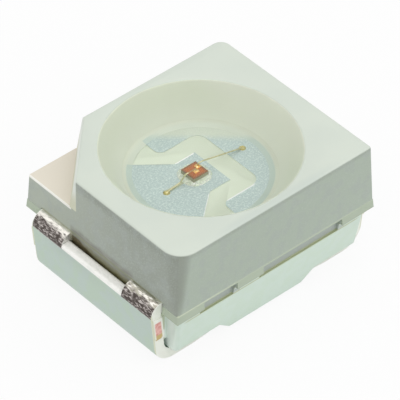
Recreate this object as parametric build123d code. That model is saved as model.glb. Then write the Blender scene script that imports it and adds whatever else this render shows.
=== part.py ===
from build123d import *
import os
from math import radians, sqrt, tan

# A surface-mount LED in a two-lead moulded package, 3.5 mm over the leads.
# Millimetres. The origin is on the seating plane, under the middle of the package.
# X runs from lead to lead (cathode at -X), Y across the width, +Z away from the board.

# Package
lead_span = 3.50
lead_projection = 0.15
body_width = 2.80
total_height = 1.80

# Lead frame, a stamped and plated strip, bent round the moulding after it has set
strip_thickness = 0.15
lead_underside = 0.83
lead_width = 2.20
top_bend_radius = 0.17
heel_bend_radius = 0.30
plate_lean = 6.0
foot_length = 0.93
land_length = 0.30
toe_rise = 5.0
toe_bend_radius = 0.60

# Window that splits each lead into two legs at its upper bend
window_width = 1.10
window_depth = 0.20
window_sill = 0.85
sill_rounding = 0.045

# Stubs of the tie bars, cut off square beside each lead
stub_height = 0.32
stub_bottom = 0.45
stub_reach = 0.02

# Stamped pads at the bottom of the cup
tongue_width = 0.65
tongue_end = 0.19
tongue_root = -0.14
blade_root = 0.236
yoke_back = 0.36
yoke_mouth = 1.14
yoke_corner = 0.15
yoke_tip = -0.16
yoke_tip_rounding = 0.10

# Upper half of the housing
upper_draft = 2.1
lip_height = 0.12
lip_overhang = 0.01
lip_taper = 0.01
corner_radius_front = 0.28
corner_radius_back = 0.14
corner_radius_side = 0.04
lip_corner_radius = 0.012
exit_clearance = 0.02

# Cut corner that marks the cathode
cut_leg = 0.84
cut_ledge_height = 1.335
cut_draft = 9.0

# Reflector cup
rim_wall = 0.155
cone_width = 0.301
heel_width = 0.114
heel_rise = 0.03
floor_sink = 0.015

# Lower half of the housing
block_setback_x = 0.08
block_setback_y = 0.06
block_draft_x = 3.0
block_draft_y = 9.5
block_corner_radius = 0.06
block_standoff = 0.05
foot_recess_height = 0.205
foot_block_slope = 40.0
toe_clearance = 0.045

# Pockets under the lip, the same on both long sides after half a turn
pocket_floor = 0.70
pocket_web = 0.02
pocket_back = 0.11
short_pocket_start = -1.17
short_pocket_length = 0.53
long_pocket_start = -0.22
long_pocket_length = 1.29

# Chip and its silver glue
chip_size = 0.24
chip_height = 0.12
chip_x = -0.077
chip_y = 0.021
glue_bond_line = 0.015
glue_reach = 0.08
glue_climb = 0.045
glue_corner = 0.16
contact_size = 0.07
contact_thickness = 0.006
contact_inset = 0.010
anode_contact_shift = 0.03
cathode_contact_shift = -0.02

# Gold bond wires
wire_diameter = 0.023
wire_sides = 8
ball_diameter = 0.070
ball_height = 0.022
stitch_diameter = 0.095
stitch_height = 0.020
stitch_slope = 45.0
anode_stitch_inset = 0.15
cathode_stitch_x = -0.545
stitch_y = 0.0
loop_height = 0.23
loop_crest = 0.07
loop_knee_reach = 0.24
loop_knee_height = 0.095
low_loop_height = 0.045
low_loop_gap = 0.045
loop_radius = 0.035

# Sizes that follow from the ones above
body_length = lead_span - 2 * lead_projection
block_length = body_length - 2 * block_setback_x
block_width = body_width - 2 * block_setback_y
rim_radius = body_width / 2 - rim_wall
heel_radius = rim_radius - cone_width
floor_radius = heel_radius - heel_width
toe_x = lead_span / 2 - foot_length
yoke_inner = floor_radius - yoke_back
anode_stitch_x = floor_radius - anode_stitch_inset
lead_top = lead_underside + strip_thickness
cup_floor = lead_top - floor_sink
parting_wall_x = body_length / 2 - lip_overhang
parting_wall_y = body_width / 2 - lip_overhang
chip_bottom = lead_top + glue_bond_line
chip_top = chip_bottom + chip_height
contact_top = chip_top + contact_thickness
anode_contact_x = chip_x + (chip_size - contact_size) / 2 - contact_inset
anode_contact_y = chip_y + anode_contact_shift
cathode_contact_y = chip_y + cathode_contact_shift


def rounded_outline(half_x, half_y, radii, z):
    """Horizontal face with its own radius at each corner, from the front one anticlockwise."""
    corners = [(-half_x, -half_y), (half_x, -half_y), (half_x, half_y), (-half_x, half_y)]
    return Pos(0, 0, z) * make_face(FilletPolyline(*corners, radius=radii, close=True))


def drafted_block(lower, upper):
    """Solid between two horizontal outlines with straight sides."""
    return loft([lower, upper], ruled=True)


def box_between(x0, x1, y0, y1, z0, z1):
    """Box given by its limits along each axis."""
    return Pos(x0, y0, z0) * Box(x1 - x0, y1 - y0, z1 - z0, align=Align.MIN)


def upper_wall():
    """Drafted wall above the lead frame, widest at the parting line."""
    height = total_height - lead_underside
    inset = height * tan(radians(upper_draft))
    low_radii = [lip_corner_radius] * 4
    top_radii = [corner_radius_front, corner_radius_side, corner_radius_back, corner_radius_side]
    low = rounded_outline(parting_wall_x, parting_wall_y, low_radii, lead_underside)
    top = rounded_outline(parting_wall_x - inset, parting_wall_y - inset, top_radii, total_height)
    return drafted_block(low, top)


def parting_lip():
    """Thin sharp lip left all round by the parting line of the mould, widest at its lower edge."""
    radii = [lip_corner_radius] * 4
    low = rounded_outline(body_length / 2, body_width / 2, radii, lead_underside)
    top_z = lead_underside + lip_height
    top = rounded_outline(body_length / 2 - lip_taper, body_width / 2 - lip_taper, radii, top_z)
    return drafted_block(low, top)


def lower_block():
    """Drafted block under the parting line, which the leads fold around."""
    height = lead_underside - block_standoff
    inset_x = height * tan(radians(block_draft_x))
    inset_y = height * tan(radians(block_draft_y))
    radii = [block_corner_radius] * 4
    low = rounded_outline(block_length / 2 - inset_x, block_width / 2 - inset_y, radii, block_standoff)
    top = rounded_outline(block_length / 2, block_width / 2, radii, lead_underside)
    return drafted_block(low, top)


def foot_recess(side):
    """Space that takes one lead's foot, up to the sloping end of the middle block."""
    start = toe_x - toe_clearance
    slope = (foot_recess_height - block_standoff) * tan(radians(90 - foot_block_slope))
    outline = Polyline(
        (side * (start - slope), block_standoff),
        (side * start, foot_recess_height),
        (side * body_length, foot_recess_height),
        (side * body_length, 0),
        (side * (start - slope), 0),
        close=True,
    )
    return extrude(make_face(Plane.XZ * outline), body_width, both=True)


def lead_exit(side):
    """Opening in the end wall, from the lower block outwards, where a lead comes out and bends."""
    half = lead_width / 2 + exit_clearance
    limits = sorted([side * block_length / 2, side * body_length])
    return box_between(*limits, -half, half, lead_underside, lead_top)


def side_pockets(side):
    """Two pockets under the wall on one long side, turned half round for the other."""
    front = -(body_width / 2 + lip_overhang)
    back = front + lip_overhang + pocket_back
    top = lead_underside + lip_height - pocket_web
    spans = [(short_pocket_start, short_pocket_length), (long_pocket_start, long_pocket_length)]
    pockets = [box_between(x, x + length, front, back, pocket_floor, top) for x, length in spans]
    return Rot(0, 0, 0 if side < 0 else 180) * (pockets[0] + pockets[1])


def corner_cut():
    """Wedge removed above the ledge at the cathode corner, with a drafted wall."""
    reach = body_length
    height = total_height - cut_ledge_height
    lean = height * tan(radians(cut_draft))
    top_inset = (total_height - lead_underside) * tan(radians(upper_draft))
    corner_x = parting_wall_x - top_inset
    corner_y = parting_wall_y - top_inset
    across = (corner_x + corner_y - cut_leg) / sqrt(2)
    profile = Polyline(
        (across, total_height),
        (across + lean, cut_ledge_height),
        (across + reach, cut_ledge_height),
        (across + reach, total_height),
        close=True,
    )
    return Rot(0, 0, 135) * extrude(make_face(Plane.XZ * profile), reach, both=True)


def cup_space():
    """Space of the reflector cup: flat floor, low heel ring and conical wall."""
    profile = Polyline(
        (0, cup_floor),
        (floor_radius, cup_floor),
        (floor_radius, lead_top),
        (heel_radius, lead_top + heel_rise),
        (rim_radius, total_height),
        (0, total_height),
        close=True,
    )
    return revolve(make_face(Plane.XZ * profile), Axis.Z)


def plate_outside(z):
    """Where the leaning outer face of a lead's plate is at a height, carried on past its bends."""
    widest = window_sill - sill_rounding
    return lead_span / 2 + (z - widest) * tan(radians(plate_lean))


def folded_strip(start):
    """Outer line of the folded strip on the +X side, from its start over the heel to the toe."""
    heel_x = plate_outside(0)
    land_x = heel_x - heel_bend_radius * tan(radians((90 - plate_lean) / 2)) - land_length
    fold = [(heel_x, 0), (land_x, 0), (toe_x, (land_x - toe_x) * tan(radians(toe_rise)))]
    bends = [top_bend_radius] * (len(start) - 1) + [heel_bend_radius, toe_bend_radius]
    return FilletPolyline(*start, *fold, radius=bends)


def strip_section(outer):
    """Closed side view of the strip, one thickness wide, inside its outer line."""
    return make_face(Plane.XZ * offset(outer, strip_thickness, side=Side.RIGHT))


def bent_lead():
    """Bent part of a lead on the +X side: two legs beside a window, over one folded plate."""
    half_window = window_width / 2
    leg_width = (lead_width - window_width) / 2
    leg_start = (block_length / 2 - window_depth, lead_top)
    leg_section = strip_section(folded_strip([leg_start, (plate_outside(lead_top), lead_top)]))
    plate_section = strip_section(folded_strip([(plate_outside(window_sill), window_sill)]))
    sill_corners = plate_section.vertices().sort_by(Axis.Z)[-2:]
    plate = extrude(fillet(sill_corners, sill_rounding), half_window, both=True)
    leg = Pos(0, half_window + leg_width / 2, 0) * extrude(leg_section, leg_width / 2, both=True)
    stubs = extrude(leg_section, lead_width / 2 + stub_reach, both=True) & stub_band()
    return plate + leg + mirror(leg, Plane.XZ) + stubs


def stub_band():
    """Height of the plate that the tie-bar stubs take up."""
    half = lead_width / 2 + stub_reach
    return box_between(lead_span / 4, lead_span, -half, half, stub_bottom, stub_bottom + stub_height)


def cathode_blade():
    """Flat pad of the cathode: a tongue under the chip that flares out to the lead."""
    half_tongue = tongue_width / 2
    half = lead_width / 2
    end = window_depth - block_length / 2
    flare_end = end + blade_root
    outline = Polyline(
        (tongue_end, -half_tongue),
        (tongue_end, half_tongue),
        (tongue_root, half_tongue),
        (flare_end, half),
        (end, half),
        (end, -half),
        (flare_end, -half),
        (tongue_root, -half_tongue),
        close=True,
    )
    return extrude(Pos(0, 0, lead_underside) * make_face(outline), strip_thickness)


def anode_blade():
    """Flat pad of the anode: a yoke whose two arms reach round the tongue."""
    half = lead_width / 2
    half_mouth = yoke_mouth / 2
    end = block_length / 2 - window_depth
    outline = FilletPolyline(
        (end, -half),
        (end, half),
        (yoke_tip, half),
        (yoke_tip, half_mouth),
        (yoke_inner, half_mouth),
        (yoke_inner, -half_mouth),
        (yoke_tip, -half_mouth),
        (yoke_tip, -half),
        radius=[0, 0, 0, yoke_tip_rounding, yoke_corner, yoke_corner, yoke_tip_rounding, 0],
        close=True,
    )
    return extrude(Pos(0, 0, lead_underside) * make_face(outline), strip_thickness)


def cathode_lead():
    """Cathode lead with the pad that carries the chip."""
    return Rot(0, 0, 180) * bent_lead() + cathode_blade()


def anode_lead():
    """Anode lead with the yoke that takes the far end of the upper wire."""
    return bent_lead() + anode_blade()


def housing(leads):
    """White moulding, one piece round both leads."""
    body = upper_wall() + parting_lip() + lower_block()
    for side in (-1, 1):
        body -= foot_recess(side)
        body -= lead_exit(side)
        body -= side_pockets(side)
    body -= corner_cut()
    body -= cup_space()
    for lead in leads:
        body -= lead
    return body


def led_chip():
    """Square chip, sawn from the wafer."""
    return Pos(chip_x, chip_y, chip_bottom) * Box(
        chip_size, chip_size, chip_height, align=(Align.CENTER, Align.CENTER, Align.MIN)
    )


def chip_contacts():
    """Two thin metal contacts on the chip, one for each wire."""
    pad = Box(contact_size, contact_size, contact_thickness, align=(Align.CENTER, Align.CENTER, Align.MIN))
    left = Pos(chip_x, cathode_contact_y, chip_top) * pad
    right = Pos(anode_contact_x, anode_contact_y, chip_top) * pad
    return Compound([left, right])


def die_attach():
    """Silver glue under the chip, with a fillet that climbs its sides."""
    half_low = chip_size / 2 + glue_reach
    half_top = chip_size / 2 + glue_bond_line
    low = rounded_outline(half_low, half_low, [glue_corner] * 4, 0)
    top = rounded_outline(half_top, half_top, [glue_bond_line] * 4, glue_climb)
    return Pos(chip_x, chip_y, lead_top) * drafted_block(low, top) - led_chip()


def bond_ball(x, y, z):
    """Ball squashed flat by the bonding tool."""
    profile = Polyline(
        (0, 0),
        (ball_diameter / 2, 0),
        (ball_diameter / 2, ball_height / 2),
        (wire_diameter / 2, ball_height),
        (0, ball_height),
        close=True,
    )
    return Pos(x, y, z) * revolve(make_face(Plane.XZ * profile), Axis.Z)


def bond_stitch(x, y, z):
    """Low dome of gold where the wire is pressed on to the lead."""
    foot = Pos(x, y, z) * RegularPolygon(stitch_diameter / 2, wire_sides)
    return extrude(foot, stitch_height, taper=stitch_slope)


def wire_run(points):
    """Wire along straight runs joined by tangent arcs, with enough sides for so thin a thing."""
    path = FilletPolyline(*points, radius=loop_radius)
    start = Plane(origin=path @ 0, z_dir=path % 0)
    return sweep(start * RegularPolygon(wire_diameter / 2, wire_sides), path=path)


def toward(start, end, distance):
    """Point in the plan, at a distance from one point towards another."""
    return start + (end - start).normalized() * distance


def bond_wire_anode():
    """Upper wire: ball on the chip, high loop, stitch on the anode yoke."""
    ball = Vector(anode_contact_x, anode_contact_y)
    stitch = Vector(anode_stitch_x, stitch_y)
    shoulder = toward(ball, stitch, loop_crest)
    knee = toward(stitch, ball, loop_knee_reach)
    crest = lead_top + loop_height
    points = [
        (ball.X, ball.Y, contact_top + ball_height / 2),
        (ball.X, ball.Y, crest),
        (shoulder.X, shoulder.Y, crest),
        (knee.X, knee.Y, lead_top + loop_knee_height),
        (stitch.X, stitch.Y, lead_top + wire_diameter / 2),
    ]
    ends = bond_ball(ball.X, ball.Y, contact_top) + bond_stitch(stitch.X, stitch.Y, lead_top)
    return wire_run(points) + ends


def bond_wire_cathode():
    """Lower wire: ball on the chip, down past its side, then low along the pad."""
    ball = Vector(chip_x, cathode_contact_y)
    stitch = Vector(cathode_stitch_x, stitch_y)
    side = toward(ball, stitch, chip_size / 2 + low_loop_gap)
    knee = toward(ball, stitch, chip_size / 2 + low_loop_gap + glue_reach)
    crest = contact_top + ball_height + loop_radius + wire_diameter
    points = [
        (ball.X, ball.Y, contact_top + ball_height / 2),
        (ball.X, ball.Y, crest),
        (side.X, side.Y, crest),
        (knee.X, knee.Y, lead_top + low_loop_height + wire_diameter),
        (stitch.X, stitch.Y, lead_top + wire_diameter / 2),
    ]
    ends = bond_ball(ball.X, ball.Y, contact_top) + bond_stitch(stitch.X, stitch.Y, lead_top)
    return wire_run(points) + ends


def encapsulant(contents):
    """Clear resin that fills the cup to the rim, round everything in it."""
    resin = cup_space()
    for item in contents:
        resin -= item
    return resin


def main():
    """Build every piece and write one file for each."""
    cathode = cathode_lead()
    anode = anode_lead()
    chip = led_chip()
    contacts = chip_contacts()
    glue = die_attach()
    upper_wire = bond_wire_anode()
    lower_wire = bond_wire_cathode()
    pieces = {
        "housing": housing([cathode, anode]),
        "cathode_lead": cathode,
        "anode_lead": anode,
        "led_chip": chip,
        "chip_contacts": contacts,
        "die_attach": glue,
        "bond_wire_anode": upper_wire,
        "bond_wire_cathode": lower_wire,
        "encapsulant": encapsulant([cathode, anode, chip, contacts, glue, upper_wire, lower_wire]),
    }
    os.makedirs("parts", exist_ok=True)
    for name, piece in pieces.items():
        export_step(piece, f"parts/{name}.step")


main()
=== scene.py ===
"""Looks of a surface-mount LED: white moulding, folded leads, resin-filled cup, chip and bond wires."""

import logging
import math
from dataclasses import dataclass, field
from enum import Enum
from typing import Callable, Sequence

import bmesh
import bpy
from mathutils import Matrix, Vector


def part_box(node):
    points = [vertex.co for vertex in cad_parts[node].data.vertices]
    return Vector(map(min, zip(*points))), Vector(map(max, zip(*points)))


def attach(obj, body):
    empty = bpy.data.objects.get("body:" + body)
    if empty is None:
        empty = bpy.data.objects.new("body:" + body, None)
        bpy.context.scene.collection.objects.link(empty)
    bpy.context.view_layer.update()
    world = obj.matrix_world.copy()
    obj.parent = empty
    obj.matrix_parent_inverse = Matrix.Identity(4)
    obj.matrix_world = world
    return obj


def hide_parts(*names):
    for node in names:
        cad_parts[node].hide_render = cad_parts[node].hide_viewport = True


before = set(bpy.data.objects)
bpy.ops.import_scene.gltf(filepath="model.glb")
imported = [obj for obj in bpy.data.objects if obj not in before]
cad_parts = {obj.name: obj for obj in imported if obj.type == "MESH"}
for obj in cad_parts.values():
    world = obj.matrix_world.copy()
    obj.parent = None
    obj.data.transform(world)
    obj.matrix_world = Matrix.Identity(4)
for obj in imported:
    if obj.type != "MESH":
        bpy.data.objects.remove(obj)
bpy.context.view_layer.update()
LOG = logging.getLogger("smd_led")

MM = 0.001
RGB = tuple[float, float, float]
Point = tuple[float, float, float]
WHITE: RGB = (1.0, 1.0, 1.0)


@dataclass(frozen=True)
class Package:
    """Sizes that more than one class needs, in millimetres."""

    top: float = 1.80
    cup_heel: float = 0.944
    ring: float = 1.01
    chip_x: float = -0.077
    chip_y: float = 0.021
    plate_lean: float = 0.105


PACKAGE = Package()


class Side(Enum):
    """The two ends of the package, by the sign of their x."""

    CATHODE = -1
    ANODE = 1

    @property
    def word(self) -> str:
        """The side's name as node names have it."""
        return self.name.lower()


def linear(red: int, green: int, blue: int) -> RGB:
    """Linear colour of an 8-bit display colour.

    Args:
        red: red from 0 to 255.
        green: green from 0 to 255.
        blue: blue from 0 to 255.

    Returns:
        The three linear channels.
    """
    def channel(value: int) -> float:
        """Linear value of one 8-bit channel."""
        share = value / 255
        return share / 12.92 if share <= 0.04045 else ((share + 0.055) / 1.055) ** 2.4

    return channel(red), channel(green), channel(blue)


def surface(red: int, green: int, blue: int, light: float) -> RGB:
    """Colour of a surface that should look like a display colour.

    Args:
        red: red from 0 to 255.
        green: green from 0 to 255.
        blue: blue from 0 to 255.
        light: how much light falls there, 1 being what makes a white surface look white.

    Returns:
        The share of light that the surface gives back in each channel.
    """
    return tuple(min(value / light, 0.92) for value in linear(red, green, blue))


class Light(float, Enum):
    """How much of the studio's light reaches each place on the package."""

    TOP = 1.07
    WALL = 0.985
    BLOCK = 0.87
    LEDGE = 0.95
    LEAD = 0.85
    RECESS = 0.80
    GAP = 0.75


# Shader maths

# Sockets of a Mix node set to colours, by number because its sockets share their names
COLOUR_LOW, COLOUR_HIGH, MIXED_COLOUR = 6, 7, 2


class Signal:
    """Output socket of a shader node, on which Python's operators add Math nodes."""

    def __init__(self, sheet: "ShaderSheet", socket: bpy.types.NodeSocket) -> None:
        """Keeps the socket and the sheet that new nodes go on."""
        self.sheet = sheet
        self.socket = socket

    def _math(self, operation: str, *values: "Signal | float") -> "Signal":
        """Result of one Math node fed by the values in order."""
        return self.sheet.node("ShaderNodeMath", {"operation": operation}, dict(enumerate(values)))

    def __add__(self, other: "Signal | float") -> "Signal":
        """Sum."""
        return self._math("ADD", self, other)

    def __radd__(self, other: float) -> "Signal":
        """Sum with a number on the left."""
        return self._math("ADD", other, self)

    def __sub__(self, other: "Signal | float") -> "Signal":
        """Difference."""
        return self._math("SUBTRACT", self, other)

    def __rsub__(self, other: float) -> "Signal":
        """Difference with a number on the left."""
        return self._math("SUBTRACT", other, self)

    def __mul__(self, other: "Signal | float") -> "Signal":
        """Product."""
        return self._math("MULTIPLY", self, other)

    def __rmul__(self, other: float) -> "Signal":
        """Product with a number on the left."""
        return self._math("MULTIPLY", other, self)

    def __truediv__(self, other: "Signal | float") -> "Signal":
        """Quotient."""
        return self._math("DIVIDE", self, other)

    def __rtruediv__(self, other: float) -> "Signal":
        """Quotient with a number on the left."""
        return self._math("DIVIDE", other, self)

    def absolute(self) -> "Signal":
        """Value without its sign."""
        return self._math("ABSOLUTE", self)

    def root(self) -> "Signal":
        """Square root."""
        return self._math("SQRT", self)

    def most(self, other: "Signal | float") -> "Signal":
        """Larger of the two."""
        return self._math("MAXIMUM", self, other)

    def step(self, start: float, end: float, low: float = 0.0, high: float = 1.0) -> "Signal":
        """Smooth change as the value goes from start to end.

        Args:
            start: value at which the result is low.
            end: value at which the result is high.
            low: result before start.
            high: result after end.

        Returns:
            The eased value, held outside the range.
        """
        inputs = {"Value": self, "From Min": start, "From Max": end, "To Min": low, "To Max": high}
        return self.sheet.node("ShaderNodeMapRange", {"interpolation_type": "SMOOTHSTEP"}, inputs)

    def between(self, start: float, end: float, soft: float = 0.006) -> "Signal":
        """Share that is 1 from start to end and fades over a soft distance at both."""
        return self.step(start - soft, start + soft) * self.step(end + soft, end - soft)

    def near(self, place: float, outer: float, inner: float) -> "Signal":
        """Share that is 1 within an inner distance of a place and 0 past an outer one."""
        return (self - place).absolute().step(outer, inner)


class ShaderSheet:
    """Node tree of one material, or of the world, cleared and rebuilt."""

    def __init__(self, name: str, world: bool = False) -> None:
        """Makes the material or the world with its output node.

        Args:
            name: what it is called.
            world: makes the world in place of a material.
        """
        self.owner = (bpy.data.worlds if world else bpy.data.materials).new(name)
        self.owner.use_nodes = True
        self.tree = self.owner.node_tree
        self.tree.nodes.clear()
        self.output = self.tree.nodes.new("ShaderNodeOutputWorld" if world else "ShaderNodeOutputMaterial")
        self._place: Signal | None = None

    def node(
        self,
        kind: str,
        settings: dict[str, object] | None = None,
        inputs: dict[str | int, object] | None = None,
        output: str | int = 0,
    ) -> Signal:
        """Adds one node.

        Args:
            kind: the node's type name.
            settings: properties set before the sockets.
            inputs: values or signals by socket name or number.
            output: which output is returned.

        Returns:
            The chosen output as a signal.
        """
        made = self.tree.nodes.new(kind)
        for name, value in (settings or {}).items():
            setattr(made, name, value)
        for name, value in (inputs or {}).items():
            self.feed(made.inputs[name], value)
        return Signal(self, made.outputs[output])

    def feed(self, socket: bpy.types.NodeSocket, value: object) -> None:
        """Links a signal to a socket, or sets its value.

        Args:
            socket: the input to feed.
            value: a signal, a number, or a colour without its alpha.
        """
        if isinstance(value, Signal):
            self.tree.links.new(value.socket, socket)
        elif isinstance(value, (tuple, list)) and socket.type == "RGBA" and len(value) == 3:
            socket.default_value = (*value, 1.0)
        else:
            socket.default_value = value

    def place(self) -> Signal:
        """Position on the object, made once for the sheet.

        Returns:
            The place in metres.
        """
        if self._place is None:
            self._place = self.node("ShaderNodeTexCoord", output="Object")
        return self._place

    def axes(self) -> tuple[Signal, Signal, Signal]:
        """Takes the position apart.

        Returns:
            The three coordinates in millimetres.
        """
        split = self.node("ShaderNodeSeparateXYZ", inputs={0: self.place()})
        outputs = split.socket.node.outputs
        return tuple(Signal(self, outputs[i]) * 1000.0 for i in range(3))

    def stretched(self, scale: Point) -> Signal:
        """Position multiplied axis by axis."""
        settings = {"operation": "MULTIPLY"}
        return self.node("ShaderNodeVectorMath", settings, {0: self.place(), 1: scale})

    def noise(self, per_mm: float, detail: float = 2.0, stretch: Point = (1, 1, 1)) -> Signal:
        """Noise texture.

        Args:
            per_mm: noise cells in a millimetre.
            detail: octaves of finer noise.
            stretch: factor on the frequency along each axis.

        Returns:
            The noise value, about 0.5 in the middle.
        """
        where = self.stretched(tuple(per_mm * 1000.0 * s for s in stretch))
        return self.node("ShaderNodeTexNoise", None, {"Vector": where, "Scale": 1.0, "Detail": detail})

    def blend(self, share: Signal | float, low: object, high: object) -> Signal:
        """Colour between two colours, by a share from 0 to 1."""
        inputs = {"Factor": share, COLOUR_LOW: low, COLOUR_HIGH: high}
        return self.node("ShaderNodeMix", {"data_type": "RGBA"}, inputs, MIXED_COLOUR)

    def bump(self, height: Signal, distance_mm: float, strength: float = 1.0) -> Signal:
        """Normal bent by a height in the given span of millimetres."""
        inputs = {"Height": height, "Distance": distance_mm * MM, "Strength": strength}
        return self.node("ShaderNodeBump", None, inputs)

    def principled(self, **sockets: object) -> Signal:
        """Principled shader; an underscore in a name stands for a space."""
        inputs = {name.replace("_", " "): value for name, value in sockets.items()}
        return self.node("ShaderNodeBsdfPrincipled", None, inputs)

    def mix_shader(self, share: Signal | float, first: Signal, second: Signal) -> Signal:
        """Shader between two shaders, by a share from 0 to 1."""
        return self.node("ShaderNodeMixShader", None, {0: share, 1: first, 2: second})

    def seen(self) -> Signal:
        """Tells rays that show the background from those that light the part.

        Returns:
            Share that is 1 for rays from the camera, off mirrors and through glass.
        """
        rays = ("Is Camera Ray", "Is Glossy Ray", "Is Transmission Ray")
        camera, mirror, glass = (self.node("ShaderNodeLightPath", output=ray) for ray in rays)
        return camera.most(mirror).most(glass)

    def finish(self, surface: Signal) -> bpy.types.Material | bpy.types.World:
        """Connects the surface and returns the material or the world."""
        self.tree.links.new(surface.socket, self.output.inputs["Surface"])
        return self.owner


# Finishes


@dataclass(frozen=True)
class Spot:
    """Place on the part, as signals in millimetres, with how far it is from the middle."""

    sheet: ShaderSheet
    x: Signal
    y: Signal
    z: Signal
    across: Signal
    along: Signal
    radius: Signal
    back_x: float = 0.671
    back_y: float = 0.741
    flare_slope: float = 0.821

    @classmethod
    def on(cls, sheet: ShaderSheet) -> "Spot":
        """Reads the place on a material's sheet."""
        x, y, z = sheet.axes()
        return cls(sheet, x, y, z, x.absolute(), y.absolute(), (x * x + y * y).root())

    def along_flank(self) -> Signal:
        """Place along a flank, the same on both flanks when the part is turned half round."""
        return self.x * self.y / self.along * -1.0

    def along_end(self) -> Signal:
        """Place along an end, the same on both ends when the part is turned half round."""
        return self.x * self.y / self.across * -1.0

    def towards_back(self) -> Signal:
        """How far the place lies towards the cup's far side."""
        return self.x * self.back_x + self.y * self.back_y

    def pad_flare(self) -> Signal:
        """Measure that is the same all along the slanted sides of the pads' gap."""
        return self.along + self.x * self.flare_slope


@dataclass(frozen=True)
class Moulding:
    """White filled moulding plastic, with light and shade painted in by what part of the package it is."""

    name: str = "white_moulding"
    top: RGB = surface(216, 224, 212, Light.TOP)
    # Darker top tone, used at random and as painted shade by the rim.
    top_shade: RGB = surface(203, 213, 204, Light.TOP)
    # Painted shade: walls darker than the top, ends darker than flanks and lighter towards their far side.
    flank: RGB = surface(167, 179, 165, Light.WALL)
    end: RGB = surface(152, 159, 149, Light.WALL)
    end_far: RGB = surface(172, 180, 166, Light.WALL)
    wall_cast: RGB = surface(163, 171, 166, Light.WALL)
    wall_grain: RGB = surface(176, 186, 174, Light.WALL)
    # Painted shade: the dark strip down the rounded front corner, and the band under the top edge.
    corner: RGB = surface(131, 136, 125, Light.WALL)
    edge_shade: RGB = surface(140, 146, 136, Light.WALL)
    lip: RGB = surface(176, 189, 167, Light.WALL)
    # Painted highlight on the lip's upper edge and painted shade under it.
    lip_highlight: RGB = surface(202, 211, 188, Light.WALL)
    lip_shade: RGB = surface(140, 146, 112, Light.WALL)
    # Painted light: the block paler than the walls, palest on its end faces.
    block: RGB = surface(199, 215, 203, Light.BLOCK)
    block_cast: RGB = surface(196, 213, 197, Light.BLOCK)
    block_end: RGB = (0.80, 0.90, 0.83)
    web: RGB = surface(178, 186, 163, Light.RECESS)
    # Painted highlight low on the webs.
    web_highlight: RGB = (0.92, 0.92, 0.88)
    # Painted shade in the pockets: grey on backs and ends, olive along the sill.
    pocket_shade: RGB = surface(154, 162, 156, Light.RECESS)
    pocket_sill_shade: RGB = surface(168, 175, 143, Light.RECESS)
    window: RGB = surface(134, 136, 127, Light.WALL)
    window_streak: RGB = surface(148, 151, 140, Light.WALL)
    # Darker band low on the window's wall and a darker end; painted shade in the gap under it.
    window_low_band: RGB = surface(127, 127, 106, Light.LEAD)
    window_gap_shade: RGB = surface(112, 109, 78, Light.GAP)
    window_dark_end: RGB = surface(84, 77, 56, Light.GAP)
    cone: RGB = (0.855, 0.89, 0.765)
    cone_foot: RGB = (0.865, 0.89, 0.79)
    cone_right: RGB = (0.91, 0.925, 0.83)
    heel: RGB = (0.74, 0.77, 0.66)
    ring: RGB = (0.69, 0.74, 0.65)
    ring_metal: RGB = (0.53, 0.635, 0.594)
    floor: RGB = (0.70, 0.76, 0.645)
    cut_wall: RGB = surface(224, 230, 221, Light.WALL)
    # Painted shade at the foot of the cut wall.
    cut_foot_shade: RGB = surface(208, 210, 186, Light.WALL)
    ledge: RGB = surface(222, 215, 200, Light.LEDGE)
    # Painted highlight on the ledge's outer edge.
    ledge_highlight: RGB = surface(246, 242, 234, Light.LEDGE)
    roughness: float = 0.42
    parting_z: float = 0.83
    lip_z: float = 0.95
    half_length: float = 1.59
    half_width: float = 1.39
    draft: float = 0.03667
    corner_width: float = 0.0165
    corner_growth: float = 0.154
    pocket_z: float = 0.70
    pocket_ends: tuple[float, float] = (-0.64, 1.07)
    ledge_z: float = 1.346
    cut: float = 2.16
    cone_rim: float = 1.25
    cone_slope: float = 0.381

    def material(self) -> bpy.types.Material:
        """Builds the node material.

        Returns:
            The material.
        """
        sheet = ShaderSheet(self.name)
        spot = Spot.on(sheet)
        tone = self.walls(spot)
        regions = (
            self.lower,
            self.pockets,
            self.webs,
            self.parting_lip,
            self.behind_window,
            self.top_face,
            self.cut_ledge,
            self.cup,
        )
        for region in regions:
            tone = region(spot, tone)
        mottle = sheet.noise(9.0, 4.0)
        grain = sheet.noise(60.0, 3.0)
        return sheet.finish(
            sheet.principled(
                Base_Color=tone,
                Roughness=mottle.step(0.2, 0.8, self.roughness - 0.05, self.roughness + 0.08),
                Normal=sheet.bump(grain, 0.002, 0.4),
                IOR=1.5,
            )
        )

    def walls(self, spot: Spot) -> Signal:
        """Drafted walls above the leads, with painted shade: darker than the top, darker still on the ends
        and at the rounded corner, and lighter towards the far side of the ends.

        Args:
            spot: place on the part.

        Returns:
            The walls' colour.
        """
        sheet, z = spot.sheet, spot.z
        lean = (z - self.parting_z) * self.draft
        from_end = self.half_length - lean - spot.across
        from_flank = self.half_width - lean - spot.along
        on_end = (from_flank - from_end).step(-0.03, 0.03)
        # Painted shade on the ends, lighter towards their far side.
        end = sheet.blend(spot.y.step(-0.9, 1.3), self.end, self.end_far)
        # Painted shade in a band along the top of the ends and flanks, under the top edge.
        end_rim = z.between(1.69, 1.83, 0.06) * 0.75
        end = sheet.blend(end_rim, end, self.edge_shade)
        flank_rim = z.between(1.745, 1.83, 0.03) * 0.45
        flank = sheet.blend(flank_rim, self.flank, self.edge_shade)
        tone = sheet.blend(on_end, flank, end)
        cast = sheet.noise(6.5, 1.0).step(0.45, 0.65) * 0.45
        tone = sheet.blend(cast, tone, self.wall_cast)
        grain = sheet.noise(48.0, 2.0).step(0.45, 0.75) * 0.6
        tone = sheet.blend(grain, tone, self.wall_grain)
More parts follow.
